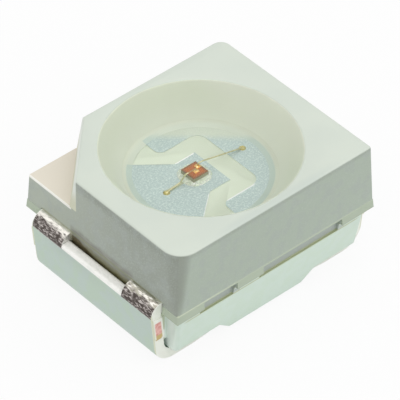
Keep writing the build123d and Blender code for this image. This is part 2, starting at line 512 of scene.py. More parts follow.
        # Painted shade down the rounded front corner, widening upwards, fading onto the end, weaker low
        # down.
        depth = spot.x + spot.y + (self.half_length + self.half_width) - lean * 2.0
        skew = (from_flank - from_end) * 0.12
        width = (z - self.parting_z) * self.corner_growth + self.corner_width
        from_strip = depth + skew - width
        strip = from_strip.step(0.05, -0.04)
        fade = from_strip.step(0.16, -0.02) * on_end * 0.5
        weaker_low = z.step(0.85, 1.25, 0.45, 1.0)
        return sheet.blend(strip.most(fade) * weaker_low, tone, self.corner)

    def lower(self, spot: Spot, tone: Signal) -> Signal:
        """Block under the parting line, painted paler than the walls as light from the floor, and palest
        at its ends as painted light against the shade of the gap beside the leads.

        Args:
            spot: place on the part.
            tone: colour so far.

        Returns:
            The colour with the block's.
        """
        sheet = spot.sheet
        cast = sheet.noise(7.0, 1.0).step(0.4, 0.65) * 0.6
        block = sheet.blend(cast, self.block, self.block_cast)
        # Painted light on the block's end faces, against the shade between them and the leads.
        end = spot.across.step(1.44, 1.50) * spot.along.step(1.30, 1.18)
        block = sheet.blend(end, block, self.block_end)
        under = spot.z.step(self.parting_z + 0.004, self.parting_z - 0.004)
        return sheet.blend(under, tone, block)

    def pockets(self, spot: Spot, tone: Signal) -> Signal:
        """Pockets in the block's flanks, with painted shade: grey back and ends, shade beside them, olive
        sill.

        Args:
            spot: place on the part.
            tone: colour so far.

        Returns:
            The colour with the pockets'.
        """
        sheet, z = spot.sheet, spot.z
        flank = spot.across.step(1.45, 1.35)
        # Painted shade on the pockets' backs.
        back = z.between(self.pocket_z - 0.002, 0.932, 0.003) * spot.along.between(1.10, 1.302, 0.004)
        tone = sheet.blend(back * flank, tone, self.pocket_shade)
        # Painted shade on the pockets' end walls and just past them.
        place = spot.along_flank()
        left, right = self.pocket_ends
        ends = place.near(left, 0.016, 0.010).most(place.near(right, 0.016, 0.010))
        ends = ends * z.between(self.pocket_z + 0.002, self.lip_z, 0.003)
        ends = ends * spot.along.between(1.285, 1.40, 0.003) * spot.along.step(1.32, 1.39, 0.85, 0.4)
        tone = sheet.blend(ends, tone, self.pocket_shade)
        # Painted shade on the flank just past the pockets' ends, under the lip.
        beyond = 0.05
        beside = place.near(left + beyond, 0.060, 0.045).most(place.near(right + beyond, 0.060, 0.045))
        beside = beside * z.between(0.716, 0.780, 0.004) * spot.along.between(1.315, 1.365, 0.004)
        tone = sheet.blend(beside * 0.75, tone, self.pocket_shade)
        # Painted shade along the pockets' sills.
        sill = z.between(self.pocket_z - 0.010, self.pocket_z + 0.012, 0.006)
        sill = sill * spot.along.between(1.10, 1.335, 0.012)
        return sheet.blend(sill * flank, tone, self.pocket_sill_shade)

    def webs(self, spot: Spot, tone: Signal) -> Signal:
        """Webs of flash behind the ends of the plates, with a painted highlight low down.

        Args:
            spot: place on the part.
            tone: colour so far.

        Returns:
            The colour with the webs'.
        """
        sheet, z = spot.sheet, spot.z
        web = spot.across.step(1.520, 1.526) * z.step(0.82, 0.80) * spot.along.step(1.0, 1.02)
        # Painted highlight low on the webs.
        colour = sheet.blend(z.between(0.37, 0.50, 0.02), self.web, self.web_highlight)
        return sheet.blend(web, tone, colour)

    def parting_lip(self, spot: Spot, tone: Signal) -> Signal:
        """Lip of the parting line: pale face, painted highlight on its upper edge and painted shade on its
        lower edge.

        Args:
            spot: place on the part.
            tone: colour so far.

        Returns:
            The colour with the lip's.
        """
        sheet, z = spot.sheet, spot.z
        outside = spot.along.step(1.368, 1.380).most(spot.across.step(1.565, 1.580))
        face = z.between(self.parting_z + 0.002, self.lip_z - 0.002, 0.005) * outside
        tone = sheet.blend(face * 0.85, tone, self.lip)
        # Painted highlight along the lip's upper edge, strongest towards the front corner.
        bright = z.between(self.lip_z - 0.008, self.lip_z + 0.008, 0.004) * spot.along.step(1.36, 1.38)
        near_corner = (spot.x * spot.y).step(0.6, 1.7, 0.3, 0.85)
        tone = sheet.blend(bright * near_corner, tone, self.lip_highlight)
        # Painted shade along the lip's lower edge.
        shaded = z.between(self.parting_z - 0.03, self.parting_z + 0.006, 0.006)
        shaded = shaded * spot.along.step(1.30, 1.33)
        return sheet.blend(shaded * 0.6, tone, self.lip_shade)

    def behind_window(self, spot: Spot, tone: Signal) -> Signal:
        """Wall over the window between the two legs of a lead, streaked and darker low down and towards
        one end, with the dark gap under it as painted shade.

        Args:
            spot: place on the part.
            tone: colour so far.

        Returns:
            The colour with the window's.
        """
        sheet, z = spot.sheet, spot.z
        opening = spot.along.step(0.60, 0.55) * spot.across.step(1.35, 1.38)
        streak = sheet.noise(34.0, 3.0, (1.0, 0.16, 1.0))
        window_face = sheet.blend(streak.step(0.42, 0.62), self.window, self.window_streak)
        ragged = z + sheet.noise(9.0, 2.0, (1.0, 1.0, 0.4)) * 0.10
        window_face = sheet.blend(ragged.step(1.00, 0.94), window_face, self.window_low_band)
        # Painted shade in the gap at the bottom of the window.
        window_face = sheet.blend(ragged.step(0.93, 0.88), window_face, self.window_gap_shade)
        run = spot.along_end()
        # Darker low down, reaching higher towards one end of the window.
        dark_end = (ragged - run.step(0.10, 0.55) * 0.11).step(0.905, 0.870)
        window_face = sheet.blend(dark_end * run.step(-0.3, 0.3, 0.25, 1.0), window_face, self.window_dark_end)
        tone = sheet.blend(opening * ragged.step(1.15, 1.07) * z.step(0.55, 0.60), tone, window_face)
        # Painted shade in a thin band on the end wall just above the legs.
        over_leg = spot.across.step(1.55, 1.57) * spot.along.step(1.13, 1.10)
        over_leg = over_leg * z.between(0.96, 0.996, 0.008)
        return sheet.blend(over_leg * 0.6, tone, self.lip_shade)

    def top_face(self, spot: Spot, tone: Signal) -> Signal:
        """Smooth top face, a shade darker at random here and there, with painted shade along the strip
        between the rim and the flank at negative y.

        Args:
            spot: place on the part.
            tone: colour so far.

        Returns:
            The colour with the top's.
        """
        sheet = spot.sheet
        shade = sheet.noise(1.6, 2.0).step(0.35, 0.65)
        # Painted shade along the narrow strip between the rim and the flank at negative y.
        rim_strip_shade = spot.y.step(-1.18, -1.32) * spot.x.between(-0.9, 0.9, 0.4)
        top = sheet.blend((shade * 0.25).most(rim_strip_shade * 0.8), self.top, self.top_shade)
        return sheet.blend(spot.z.step(PACKAGE.top - 0.022, PACKAGE.top - 0.006), tone, top)

    def cut_ledge(self, spot: Spot, tone: Signal) -> Signal:
        """Warm ledge left by the cut corner, with a painted highlight at its outer edge and painted shade
        at the foot of the cut wall.

        Args:
            spot: place on the part.
            tone: colour so far.

        Returns:
            The colour with the ledge's.
        """
        sheet, z = spot.sheet, spot.z
        outward = spot.y - spot.x
        flat = z.between(self.ledge_z - 0.019, self.ledge_z, 0.003)
        flat = flat * outward.step(self.cut - 0.02, self.cut)
        tone = sheet.blend(flat, tone, self.ledge)
        wall = outward.between(self.cut - 0.11, self.cut + 0.02, 0.008)
        wall = wall * z.between(self.ledge_z - 0.001, PACKAGE.top - 0.008, 0.004)
        # Cut wall, with painted shade low down at its foot.
        tone = sheet.blend(wall, tone, sheet.blend(z.step(1.45, 1.70), self.cut_foot_shade, self.cut_wall))
        # Painted highlight along the ledge's outer edge.
        edge = z.between(self.ledge_z - 0.028, self.ledge_z, 0.004)
        edge = edge * outward.step(self.cut - 0.03, self.cut)
        return sheet.blend(edge * spot.across.step(1.545, 1.555) * 0.9, tone, self.ledge_highlight)

    def cup(self, spot: Spot, tone: Signal) -> Signal:
        """Reflector cup, warmer on its cone than on its floor.

        Args:
            spot: place on the part.
            tone: colour so far.

        Returns:
            The colour with the cup's.
        """
        sheet = spot.sheet
        inner = sheet.blend(spot.z.step(1.08, 1.60), self.cone_foot, self.cone)
        inner = sheet.blend(spot.x.step(0.7, 1.1), inner, self.cone_right)
        inner = sheet.blend(spot.z.step(1.03, 1.00), inner, self.ring)
        inner = sheet.blend(spot.z.between(1.000, 1.045, 0.012) * 0.6, inner, self.heel)
        near_side = spot.towards_back().step(0.72, 0.58)
        over_pad = spot.pad_flare().step(0.215, 0.207).most(spot.x.step(-0.165, -0.158))
        metal = over_pad * spot.radius.between(0.82, 0.90, 0.008) * near_side
        inner = sheet.blend(metal * 0.9, inner, self.ring_metal)
        inner = sheet.blend(spot.z.step(0.972, 0.968), inner, self.floor)
        at_rim = spot.radius - (spot.z - PACKAGE.top) * self.cone_slope
        inside = at_rim.step(self.cone_rim + 0.012, self.cone_rim) * spot.z.step(0.93, 0.95)
        under_rim = spot.z.step(PACKAGE.top - 0.001, PACKAGE.top - 0.012)
        return sheet.blend(inside * under_rim, tone, inner)


@dataclass(frozen=True)
class PlatedStrip:
    """Plated copper strip: matt flats, bright tight bend with a painted dark reflection, painted
    highlights, copper where it was sheared.
    """

    name: str = "plated_lead"
    flat: RGB = (0.545, 0.638, 0.584)
    flat_cast: RGB = (0.54, 0.645, 0.55)
    bright: RGB = (0.96, 0.93, 0.86)
    dull: RGB = (0.50, 0.48, 0.40)
    # Painted dark reflection on the curve of the legs.
    dark_reflection: RGB = (0.088, 0.074, 0.066)
    streak: RGB = (0.62, 0.57, 0.54)
    # Painted highlight: the up-facing window sill white and matt, greyer in places.
    sill: RGB = (1.0, 0.99, 0.95)
    sill_grey: RGB = (0.88, 0.89, 0.84)
    sill_edge: RGB = (0.62, 0.63, 0.36)
    pad: RGB = (0.47, 0.57, 0.57)
    pad_glint: RGB = (0.66, 0.74, 0.72)
    # Painted reflection: the pads cream towards the cup's far side.
    pad_far_reflection: RGB = (0.66, 0.70, 0.61)
    # Painted reflection and shadow of the cathode wire on the pad.
    wire_mirror: RGB = (0.50, 0.49, 0.26)
    # Painted highlight on the pads' edges; painted shade along one flare edge.
    edge_highlight: RGB = (0.97, 0.97, 0.97)
    pad_shade: RGB = (0.22, 0.26, 0.25)
    # Painted highlight: the pads' sides pale and matt.
    pad_side_highlight: RGB = (0.86, 0.90, 0.84)
    # Painted highlight: the sheared sides pale and matt.
    sheared: RGB = (0.90, 0.92, 0.84)
    sheared_edge: RGB = (0.62, 0.66, 0.44)
    copper: RGB = surface(222, 174, 166, Light.LEAD)
    copper_deep: RGB = surface(204, 140, 132, Light.LEAD)
    brass: RGB = surface(190, 166, 112, Light.LEAD)
    matt: float = 0.52
    gloss: float = 0.22
    plate_face: float = 1.75
    plate_top: float = 0.805
    stub_z: tuple[float, float] = (0.408, 0.718)

    def material(self) -> bpy.types.Material:
        """Builds the node material.

        Returns:
            The material.
        """
        sheet = ShaderSheet(self.name)
        spot = Spot.on(sheet)
        cast = sheet.noise(5.0, 2.0)
        tone = sheet.blend(cast.step(0.42, 0.62), self.flat, self.flat_cast)
        leg = spot.z.step(0.79, 0.808) * spot.across.step(1.55, 1.58) * spot.along.step(0.54, 0.55)
        tone = self.legs(spot, tone, leg)
        sill = spot.along.step(0.556, 0.546) * spot.across.step(1.56, 1.58) * spot.z.step(0.795, 0.815)
        tone = self.window_sill(spot, tone, sill)
        inside = spot.radius.step(1.25, 1.20)
        side = inside * spot.z.step(0.9795, 0.978) * spot.radius.step(0.826, 0.815)
        tone = self.pads(spot, tone, inside, side)
        edge = spot.along.step(1.088, 1.096)
        tone = self.sheared_sides(spot, tone, edge)
        # Matt and not metal where highlights are painted: the sill, the pads' sides and the sheared sides.
        plain = (sill * 0.8).most(side).most(edge)
        relief = sheet.noise(26.0, 4.0, (1.0, 0.5, 1.0))
        return sheet.finish(
            sheet.principled(
                Base_Color=tone,
                Metallic=1.0 - plain,
                Roughness=(self.matt - leg * (self.matt - self.gloss)).most(plain * 0.5),
                Normal=sheet.bump(relief, 0.006, 0.6),
            )
        )

    def legs(self, spot: Spot, tone: Signal, leg: Signal) -> Signal:
        """Legs at the upper bend: cream on top with dull patches, and a painted dark reflection with fine
        streaks on the curve.

        Args:
            spot: place on the part.
            tone: colour so far.
            leg: share that is 1 on the legs.

        Returns:
            The colour with the legs'.
        """
        sheet = spot.sheet
        wrinkle = sheet.noise(30.0, 3.0, (1.0, 0.35, 1.0))
        # Dull patches on the legs' tops, more of them on the near leg.
        near_leg_dullness = (spot.x * spot.y).step(-0.5, 0.5, 0.2, 1.0)
        bright = sheet.blend(wrinkle.step(0.40, 0.54) * near_leg_dullness, self.bright, self.dull)
        tone = sheet.blend(leg, tone, bright)
        # Painted dark reflection on the curve below a ragged line, with fine streaks.
        ragged = spot.z + (sheet.noise(26.0, 2.0, (1.0, 0.35, 1.0)) - 0.5) * 0.12
        dark_reflection = leg * ragged.step(0.968, 0.935)
        speckle = sheet.noise(64.0, 3.0, (1.0, 0.30, 0.9)) - ragged.step(0.93, 0.83) * 0.04
        dark = sheet.blend(speckle.step(0.42, 0.72), self.dark_reflection, self.streak)
        return sheet.blend(dark_reflection, tone, dark)

    def window_sill(self, spot: Spot, tone: Signal, sill: Signal) -> Signal:
        """Sill of the window between the legs, white and matt as painted highlight, greyer in places and
        olive along its inner edge.

        Args:
            spot: place on the part.
            tone: colour so far.
            sill: share that is 1 on the sill.

        Returns:
            The colour with the sill's.
        """
        sheet = spot.sheet
        grey = sheet.noise(22.0, 3.0, (1.0, 0.5, 1.0)).step(0.50, 0.66) * 0.6
        # Painted highlight: the sill white.
        tone = sheet.blend(sill, tone, sheet.blend(grey, self.sill, self.sill_grey))
        return sheet.blend(sill * spot.across.step(1.625, 1.605) * 0.7, tone, self.sill_edge)

    def pads(self, spot: Spot, tone: Signal, inside: Signal, side: Signal) -> Signal:
        """Speckled pads in the cup, with painted highlights on edges and sides, a painted dark line, and
        painted reflections.

        Args:
            spot: place on the part.
            tone: colour so far.
            inside: share that is 1 in the cup.
            side: share that is 1 on the sides of the pads.

        Returns:
            The colour with the pads'.
        """
        sheet = spot.sheet
        speckle = sheet.noise(44.0, 2.0)
        pad = sheet.blend(speckle.step(0.42, 0.74), self.pad, self.pad_glint)
        # Painted reflection and shadow of the cathode wire on the pad.
        mirror = spot.y.near(0.012, 0.034, 0.012) * spot.x.between(-0.53, -0.20, 0.02)
        pad = sheet.blend(mirror * 0.7, pad, self.wire_mirror)
        # Painted reflection: the pads cream towards the cup's far side.
        far = spot.towards_back().step(0.56, 0.72)
        pad = sheet.blend(far * 0.85, pad, self.pad_far_reflection)
        # Painted highlights along the tongue's edge, an arm's inner edge and one flare edge; painted shade
        # along the other flare edge.
        edge_highlight = spot.y.near(0.322, 0.016, 0.010) * spot.x.between(-0.13, 0.17, 0.01)
        inner_arm = spot.y.near(-0.57, 0.022, 0.014) * spot.x.between(-0.10, 0.36, 0.03)
        flare = spot.pad_flare().near(0.21, 0.016, 0.009) * spot.x.between(-0.52, -0.17, 0.02)
        pad = sheet.blend(flare * spot.y.step(0.0, 0.1) * 0.5, pad, self.pad_shade)
        glint = edge_highlight.most(inner_arm * 0.8).most(flare * spot.y.step(0.0, -0.1) * 0.8)
        pad = sheet.blend(glint, pad, self.edge_highlight)
        # Painted highlight: the pads' sides pale.
        return sheet.blend(side, sheet.blend(inside, tone, pad), self.pad_side_highlight)

    def sheared_sides(self, spot: Spot, tone: Signal, edge: Signal) -> Signal:
        """Sides left by the stamping, pale and matt as painted highlight, with bare copper on the stubs of
        the tie bars.

        Args:
            spot: place on the part.
            tone: colour so far.
            edge: share that is 1 on the sheared sides.

        Returns:
            The colour with the sheared sides'.
        """
        sheet = spot.sheet
        # Painted highlight: the sheared sides pale.
        tone = sheet.blend(edge, tone, self.sheared)
        depth = self.plate_face + (spot.z - self.plate_top) * PACKAGE.plate_lean - spot.across
        tone = sheet.blend(edge * depth.step(0.022, 0.010) * 0.7, tone, self.sheared_edge)
        face = edge * spot.z.between(*self.stub_z, 0.008) * depth.between(0.030, 0.125, 0.010)
        patch = sheet.noise(16.0, 2.0).step(0.42, 0.60)
        copper = sheet.blend(patch, self.copper, self.copper_deep)
        copper = sheet.blend(spot.z.step(0.53, 0.50), copper, self.brass)
        return sheet.blend(face, tone, copper)


@dataclass(frozen=True)
class ContactMetal:
    """Gold of the chip's contacts, with bright grains."""

    name: str = "contact_metal"
    gold: RGB = (0.92, 0.50, 0.11)
    glint: RGB = (1.0, 0.80, 0.40)
    roughness: float = 0.25
    grain_per_mm: float = 90.0
    relief_mm: float = 0.002

    def material(self) -> bpy.types.Material:
        """Builds the node material.

        Returns:
            The material.
        """
        sheet = ShaderSheet(self.name)
        grain = sheet.noise(self.grain_per_mm, 3.0)
        return sheet.finish(
            sheet.principled(
                Base_Color=sheet.blend(grain.step(0.35, 0.7), self.gold, self.glint),
                Metallic=1.0,
                Roughness=self.roughness,
                Normal=sheet.bump(grain, self.relief_mm, 0.6),
            )
        )


@dataclass(frozen=True)
class CastResin:
    """Clear casting resin that lets the lamps through to the floor of the cup."""

    name: str = "clear_resin"
    tint: RGB = (0.985, 0.995, 0.97)
    index: float = 1.5

    def material(self) -> bpy.types.Material:
        """Builds the node material.

        Returns:
            The material.
        """
        sheet = ShaderSheet(self.name)
        glass = sheet.principled(
            Base_Color=self.tint, Transmission_Weight=1.0, IOR=self.index, Roughness=0.02
        )
        clear = sheet.node("ShaderNodeBsdfTransparent", None, {"Color": self.tint})
        shadow = sheet.node("ShaderNodeLightPath", output="Is Shadow Ray")
        return sheet.finish(sheet.mix_shader(shadow, glass, clear))


@dataclass(frozen=True)
class Glue:
    """Glossy silver-filled glue with painted highlights, as white specks, along its outer edge."""

    name: str = "silver_glue"
    body: RGB = (0.66, 0.72, 0.60)
    pale: RGB = (0.86, 0.90, 0.80)
    # Painted highlights along the glue's outer edge.
    glue_highlight: RGB = WHITE
    edge: float = 0.165

    def material(self) -> bpy.types.Material:
        """Builds the node material.

        Returns:
            The material.
        """
        sheet = ShaderSheet(self.name)
        x, y, _ = sheet.axes()
        dx, dy = x - PACKAGE.chip_x, y - PACKAGE.chip_y
        reach = (dx * dx + dy * dy).root()
        grain = sheet.noise(34.0, 3.0)
        tone = sheet.blend(grain.step(0.40, 0.62), self.body, self.pale)
        # Painted highlights as white specks along the glue's outer edge, partly metal.
        highlight_specks = reach.step(self.edge, self.edge + 0.02) * sheet.noise(24.0, 1.0).step(0.50, 0.58)
        return sheet.finish(
            sheet.principled(
                Base_Color=sheet.blend(highlight_specks, tone, self.glue_highlight),
                Metallic=highlight_specks * 0.8,
                Roughness=0.25,
                Normal=sheet.bump(grain, 0.006, 0.6),
            )
        )


@dataclass(frozen=True)
class GoldWire:
    """Drawn gold wire, with a duller painted reflection of the chip where it runs over it."""

    name: str = "gold_wire"
    colour: RGB = (0.68, 0.63, 0.38)
    bright: RGB = (0.86, 0.80, 0.56)
    # Painted reflection of the chip on the wire where it runs over it.
    chip_reflection: RGB = (0.42, 0.20, 0.07)
    bond: RGB = (0.64, 0.53, 0.17)
    ball: RGB = (0.78, 0.42, 0.10)
    ball_glint: RGB = (1.0, 0.82, 0.42)
    mirror_x: tuple[float, float] = (-0.20, -0.10)

    def material(self) -> bpy.types.Material:
        """Builds the node material.

        Returns:
            The material.
        """
        sheet = ShaderSheet(self.name)
        spot = Spot.on(sheet)
        grain = sheet.noise(40.0, 3.0)
        tone = sheet.blend(grain.step(0.35, 0.7), self.colour, self.bright)
        # Painted reflection of the chip on the wire where it runs over it.
        over_chip = spot.x.between(*self.mirror_x, 0.012) * spot.y.step(0.03, 0.02)
        tone = sheet.blend(over_chip * 0.85, tone, self.chip_reflection)
        off_chip = (spot.x - PACKAGE.chip_x).absolute().most((spot.y - PACKAGE.chip_y).absolute())
        ball = off_chip.step(0.105, 0.095) * spot.z.step(1.18, 1.165)
        tone = sheet.blend(ball, tone, sheet.blend(grain.step(0.40, 0.60), self.ball, self.ball_glint))
        stitched = spot.across.step(0.50, 0.51) * spot.z.step(1.012, 1.006)
        tone = sheet.blend(stitched * grain.step(0.38, 0.55), tone, self.bond)
        return sheet.finish(
            sheet.principled(
                Base_Color=tone, Metallic=1.0, Roughness=0.3, Normal=sheet.bump(grain, 0.002, 0.6)
            )
        )


@dataclass(frozen=True)
class Crystal:
    """Sawn chip: warm top, dark olive sides."""

    name: str = "chip_crystal"
    top: RGB = (0.48, 0.125, 0.010)
    edge: RGB = (0.22, 0.10, 0.03)
    side: RGB = (0.35, 0.34, 0.20)
    half: float = 0.12
    top_height: float = 1.115

    def material(self) -> bpy.types.Material:
        """Builds the node material.

        Returns:
            The material.
        """
        sheet = ShaderSheet(self.name)
        x, y, z = sheet.axes()
        reach = (x - PACKAGE.chip_x).absolute().most((y - PACKAGE.chip_y).absolute())
        tone = sheet.blend(reach.step(self.half - 0.045, self.half - 0.006), self.top, self.edge)
        tone = sheet.blend(z.step(self.top_height - 0.006, self.top_height - 0.002), self.side, tone)
        mottle = sheet.noise(50.0, 3.0)
        tone = sheet.blend(mottle.step(0.4, 0.7) * 0.25, tone, self.edge)
        return sheet.finish(
            sheet.principled(Base_Color=tone, Roughness=0.3, Normal=sheet.bump(mottle, 0.002, 0.4))
        )


# Meshes

WELD_MM = 2e-5
FLAT_DEG = 1.0
CREASE_DEG = 32.0


def new_object(name: str, mesh: bpy.types.Mesh, finish: bpy.types.Material) -> bpy.types.Object:
    """Links a mesh to the scene as an object with one material.

    Args:
        name: name of the object.
        mesh: its mesh, still without a material.
        finish: the material.

    Returns:
        The object.
    """
    made = bpy.data.objects.new(name, mesh)
    mesh.materials.append(finish)
    bpy.context.scene.collection.objects.link(made)
    return made


def from_bmesh(name: str, shape: bmesh.types.BMesh) -> bpy.types.Mesh:
    """Turns a bmesh into a mesh with outward normals, and frees it.

    Args:
        name: name of the mesh.
        shape: the bmesh, in metres.

    Returns:
        The mesh.
    """
    bmesh.ops.recalc_face_normals(shape, faces=shape.faces)
    mesh = bpy.data.meshes.new(name)
    shape.to_mesh(mesh)
    shape.free()
    return mesh


def lathe(name: str, profile: Sequence[tuple[float, float]], segments: int) -> bpy.types.Mesh:
    """Turns a profile round the part's vertical axis.

    Args:
        name: name of the mesh.
        profile: radius and height pairs in millimetres; a radius of 0 closes an end.
        segments: facets in a turn.

    Returns:
        The closed mesh, in metres.
    """
    shape = bmesh.new()
    rings: list[list[bmesh.types.BMVert]] = []
    for radius, height in profile:
        turns = 1 if radius == 0 else segments
        ring = []
        for i in range(turns):
            angle = 2 * math.pi * i / segments
            corner = Vector((radius * math.cos(angle), radius * math.sin(angle), height))
            ring.append(shape.verts.new(corner * MM))
        rings.append(ring)
    for low, high in zip(rings, rings[1:]):
        for i in range(segments):
            j = (i + 1) % segments
            corners = [low[i % len(low)], low[j % len(low)], high[j % len(high)], high[i % len(high)]]
            unique = list(dict.fromkeys(corners))
            if len(unique) > 2:
                shape.faces.new(unique)
    return from_bmesh(name, shape)


def tube(shape: bmesh.types.BMesh, sections: Sequence[Sequence[Point]]) -> None:
    """Adds a closed tube.

    Args:
        shape: the bmesh, changed in place.
        sections: the corners of each section in millimetres, in the same order round.
    """
    rows = [[shape.verts.new(Vector(corner) * MM) for corner in section] for section in sections]
    for first, second in zip(rows, rows[1:]):
        for j in range(len(first)):
            k = (j + 1) % len(first)
            shape.faces.new([first[j], first[k], second[k], second[j]])
    shape.faces.new(rows[0])
    shape.faces.new(rows[-1])


def smooth(mesh: bpy.types.Mesh, sharp_deg: float = 40.0) -> None:
    """Shades smooth, with creases kept where faces meet at more than an angle."""
    mesh.shade_smooth()
    mesh.set_sharp_from_angle(angle=math.radians(sharp_deg))


def softened_copy(
    name: str,
    node: str,
    width_mm: float,
    finish: bpy.types.Material,
    rounded: Callable[[bmesh.types.BMesh], None] | None = None,
) -> bpy.types.Object:
    """Copy of a CAD node with its hard edges rounded over.

    Args:
        name: name of the new piece.
        node: the CAD node that it stands for.
        width_mm: width of the rounding.
        finish: the material.
        rounded: rounds chosen edges more, before the rest, if given.

    Returns:
        The new object, in the node's place.
    """
    low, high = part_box(node)
    shape = bmesh.new()
    shape.from_mesh(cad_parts[node].data)
    bmesh.ops.remove_doubles(shape, verts=shape.verts, dist=WELD_MM * MM)
    bmesh.ops.dissolve_limit(
        shape, angle_limit=math.radians(FLAT_DEG), verts=shape.verts, edges=shape.edges, delimit=set()
    )
    if rounded:
        rounded(shape)
    mesh = from_bmesh(name, shape)
    made = new_object(name, mesh, finish)
    rounding = made.modifiers.new("rounded_edges", "BEVEL")
    rounding.width = width_mm * MM
    rounding.segments = 2
    rounding.limit_method = "ANGLE"
    rounding.angle_limit = math.radians(CREASE_DEG)
    rounding.use_clamp_overlap = True
    rounding.harden_normals = True
    smooth(mesh)
    apply_modifiers(made)
    for vertex in made.data.vertices:
        vertex.co = [min(max(c, a), b) for c, a, b in zip(vertex.co, low, high)]
    return made


def round_loop(
    shape: bmesh.types.BMesh, chosen: Callable[[Vector], bool], width_mm: float, segments: int = 3
) -> None:
    """Rounds the creased edges whose two ends are both chosen.

    Args:
        shape: the mesh, changed in place.
        chosen: says whether a point, in millimetres, is on the loop.
        width_mm: width of the rounding.
        segments: facets across the rounding.
    """
    edges = [
        edge
        for edge in shape.edges
        if len(edge.link_faces) == 2
        and edge.calc_face_angle(0.0) > math.radians(20)
        and all(chosen(vertex.co / MM) for vertex in edge.verts)
    ]
    bmesh.ops.bevel(
        shape,
        geom=edges,
        offset=width_mm * MM,
        segments=segments,
        profile=0.5,
        affect="EDGES",
        clamp_overlap=False,
    )


def apply_modifiers(made: bpy.types.Object) -> None:
    """Bakes the modifiers of an object into its mesh.

    Args:
        made: the object, changed in place.
    """
    graph = bpy.context.evaluated_depsgraph_get()
    graph.update()
    mesh = bpy.data.meshes.new_from_object(made.evaluated_get(graph))
    made.modifiers.clear()
    old = made.data
    made.data = mesh
    bpy.data.meshes.remove(old)


def placed(made: bpy.types.Object, slot: str, *nodes: str) -> None:
    """Rides a piece on the part, hides the nodes it stands for, and logs it with their names.

    Args:
        made: the piece.
        slot: not used.
        nodes: the CAD nodes that it stands for, if any.
    """
    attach(made, "root")
    if nodes:
        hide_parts(*nodes)
    LOG.info("%s: %d faces, for %s", made.name, len(made.data.polygons), ", ".join(nodes) or "detail")


# Pieces


@dataclass
class Housing:
    """Moulded body with softly rounded edges, and the flash that its mould left."""

    edge_mm: float = 0.010
    rim_mm: float = 0.030
    heel_mm: float = 0.045
    skin_half: float = 0.55
    skin_back: float = 1.52
    skin_face: float = 1.58
    skin_low: float = 0.806
    skin_top: float = 0.985
    skin_steps: int = 24
    skin_waves: tuple[tuple[float, float, float], ...] = ((0.006, 11.0, 0.0), (0.004, 29.0, 1.0))
    web_at: float = 1.082
    web_low: float = 0.345
    web_high: float = 0.80
    web_narrowing: float = 0.97
    block_end: float = 1.4985
    block_lean: float = 0.053
    plate_back: float = 1.560
    measured_z: float = 0.45
    finish: Moulding = field(default_factory=Moulding)

    def build(self) -> None:
        """Makes the body and the flash on both leads."""
        material = self.finish.material()
        body = softened_copy("moulded_body", "housing", self.edge_mm, material, self.round_cup_and_top)
        placed(body, "white_moulding", "housing")
        for side in Side:
            flash = new_object(f"{side.word}_window_flash", self.flash(side), material)
            placed(flash, "white_moulding")

    def round_cup_and_top(self, shape: bmesh.types.BMesh) -> None:
        """Rounds the edges of the top face and the foot of the cup's cone.

        Args:
            shape: the body, changed in place.
        """

        def at_heel(point: Vector) -> bool:
            """Says whether a point is on the foot of the cone."""
            return abs(point.xy.length - PACKAGE.cup_heel) < 0.01 and abs(point.z - PACKAGE.ring) < 1e-3

        round_loop(shape, lambda point: abs(point.z - PACKAGE.top) < 1e-4, self.rim_mm)
        round_loop(shape, at_heel, self.heel_mm)

    def flash(self, side: Side) -> bpy.types.Mesh:
        """Flash of moulding on one lead: a skin over its window and webs behind the plate's ends.

        Args:
            side: the lead's side.

        Returns:
            The mesh, in metres.
        """
        shape = bmesh.new()
        tube(shape, self.window_skin(side))
        for outer in (-self.web_at, self.web_at):
            tube(shape, self.plate_web(side, outer))
        return from_bmesh("window_flash", shape)

    def window_skin(self, side: Side) -> list[list[Point]]:
        """Skin over the mouth of a window, with a ragged lower edge.

        Args:
            side: the lead's side.

        Returns:
            The corners of each section, from one leg to the other.
        """
        sections = []
        for i in range(self.skin_steps + 1):
            y = self.skin_half * (2 * i / self.skin_steps - 1)
            waves = (height * math.sin(rate * y + shift) for height, rate, shift in self.skin_waves)
            low = self.skin_low + sum(waves)
            corners = [
                (self.skin_back, low),
                (self.skin_face - 0.002, low),
                (self.skin_face, self.skin_top),
                (self.skin_back, self.skin_top),
            ]
            sections.append([(side.value * x, y, z) for x, z in corners])
        return sections

    def plate_web(self, side: Side, outer: float) -> list[list[Point]]:
        """Web between the block and one end of a plate, which both lean.

        Args:
            side: the lead's side.
            outer: where the web's outer face is, across the part.

        Returns:
            The corners of its lower and its upper end.
        """
        inner = outer * self.web_narrowing
        sections = []
        for z in (self.web_low, self.web_high):
            rise = z - self.measured_z
            near = self.block_end + rise * self.block_lean
            far = self.plate_back + rise * PACKAGE.plate_lean
            corners = [(near, outer), (far, outer), (far, inner), (near, inner)]
            sections.append([(side.value * x, y, z) for x, y in corners])
        return sections


@dataclass
class LeadFrame:
    """The two folded leads with their pads in the cup."""

    edge_mm: float = 0.010
    finish: PlatedStrip = field(default_factory=PlatedStrip)

    def build(self) -> None:
        """Makes both leads."""
        material = self.finish.material()
        for side in Side:
            node = f"{side.word}_lead"
            lead = softened_copy(f"{side.word}_strip", node, self.edge_mm, material)
            placed(lead, "plated_lead", node)


